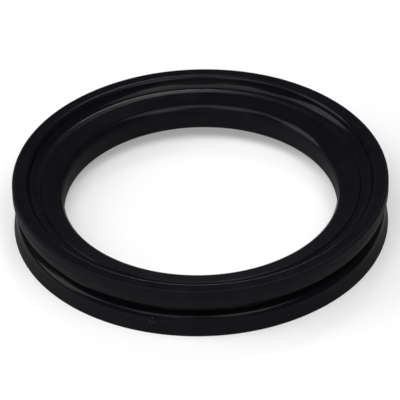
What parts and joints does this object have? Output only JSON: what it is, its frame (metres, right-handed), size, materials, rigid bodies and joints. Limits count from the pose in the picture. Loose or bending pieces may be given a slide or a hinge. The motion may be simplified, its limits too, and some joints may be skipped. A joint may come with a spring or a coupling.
{
  "type": "wiper seal",
  "caption": "Moulded rubber ring that wipes a sliding rod: heel flange, grooved outside, raised rim and a channelled inner lip.",
  "frame": {"origin": "centre of the ring, on the plane of its heel face", "axes": "+Z along the ring's axis, from the heel face towards the rim; the moulding nub faces -Y, a little towards -X"},
  "size_m": [0.0666, 0.0666, 0.0095],
  "materials": {
    "rubber": "satin black moulded nitrile rubber"
  },
  "bodies": {
    "root": {"seal_ring": "rubber"}
  },
  "joints": []
}
